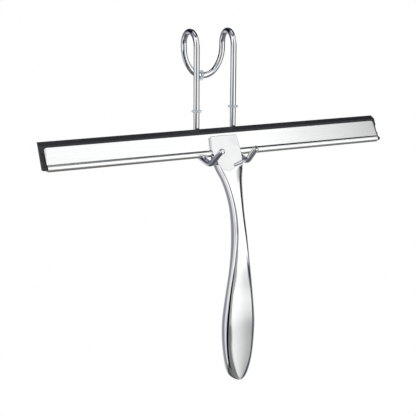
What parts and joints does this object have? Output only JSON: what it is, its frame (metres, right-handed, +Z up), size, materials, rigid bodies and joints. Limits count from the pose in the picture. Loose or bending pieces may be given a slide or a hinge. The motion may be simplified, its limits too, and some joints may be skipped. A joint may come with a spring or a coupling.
{
  "type": "shower squeegee with over-door hook",
  "caption": "Shower squeegee: round-bodied handle, folded metal channel and rubber blade, hanging in a bent-wire hook that goes over a glass door.",
  "frame": {"origin": "middle of the door's top edge, under the two bends of the hook's wire", "axes": "+X along the blade to the right seen from the front, +Y from the handle side towards the back of the door, +Z up"},
  "size_m": [0.3064, 0.0769, 0.2863],
  "materials": {
    "hook_chrome": "polished",
    "handle_chrome": "polished",
    "channel_steel": "satin, brushed lengthwise",
    "blade_rubber": "matt",
    "ring_silicone": "translucent, soft",
    "screw_zinc": "zinc plated"
  },
  "bodies": {
    "hook": {"hook_wire": "hook_chrome"},
    "left_ring": {"left_leg_ring": "ring_silicone"},
    "right_ring": {"right_leg_ring": "ring_silicone"},
    "rear_ring": {"rear_loop_ring": "ring_silicone"},
    "squeegee": {"handle": "handle_chrome", "channel": "channel_steel", "left_screw": "screw_zinc", "right_screw": "screw_zinc"},
    "blade": {"rubber_blade": "blade_rubber"}
  },
  "joints": [
    {"name": "lift_off", "type": "slide", "parent": "hook", "child": "squeegee", "axis": [0, -0.6428, 0.766], "range_m": [0, 0.1]},
    {"name": "blade_slide", "type": "slide", "parent": "squeegee", "child": "blade", "axis": [1, 0, 0], "range_m": [-0.28, 0.28]},
    {"name": "left_ring_slide", "type": "slide", "parent": "hook", "child": "left_ring", "axis": [0, -0.0126, 0.9999], "range_m": [-0.01, 0.048]},
    {"name": "right_ring_slide", "type": "slide", "parent": "hook", "child": "right_ring", "axis": [0, -0.0126, 0.9999], "range_m": [-0.012, 0.046]},
    {"name": "rear_ring_slide", "type": "hinge", "parent": "hook", "child": "rear_ring", "pos_m": [0, 0.01125, -0.02005], "axis": [0, 1, 0], "range_deg": [-52, 38]}
  ]
}
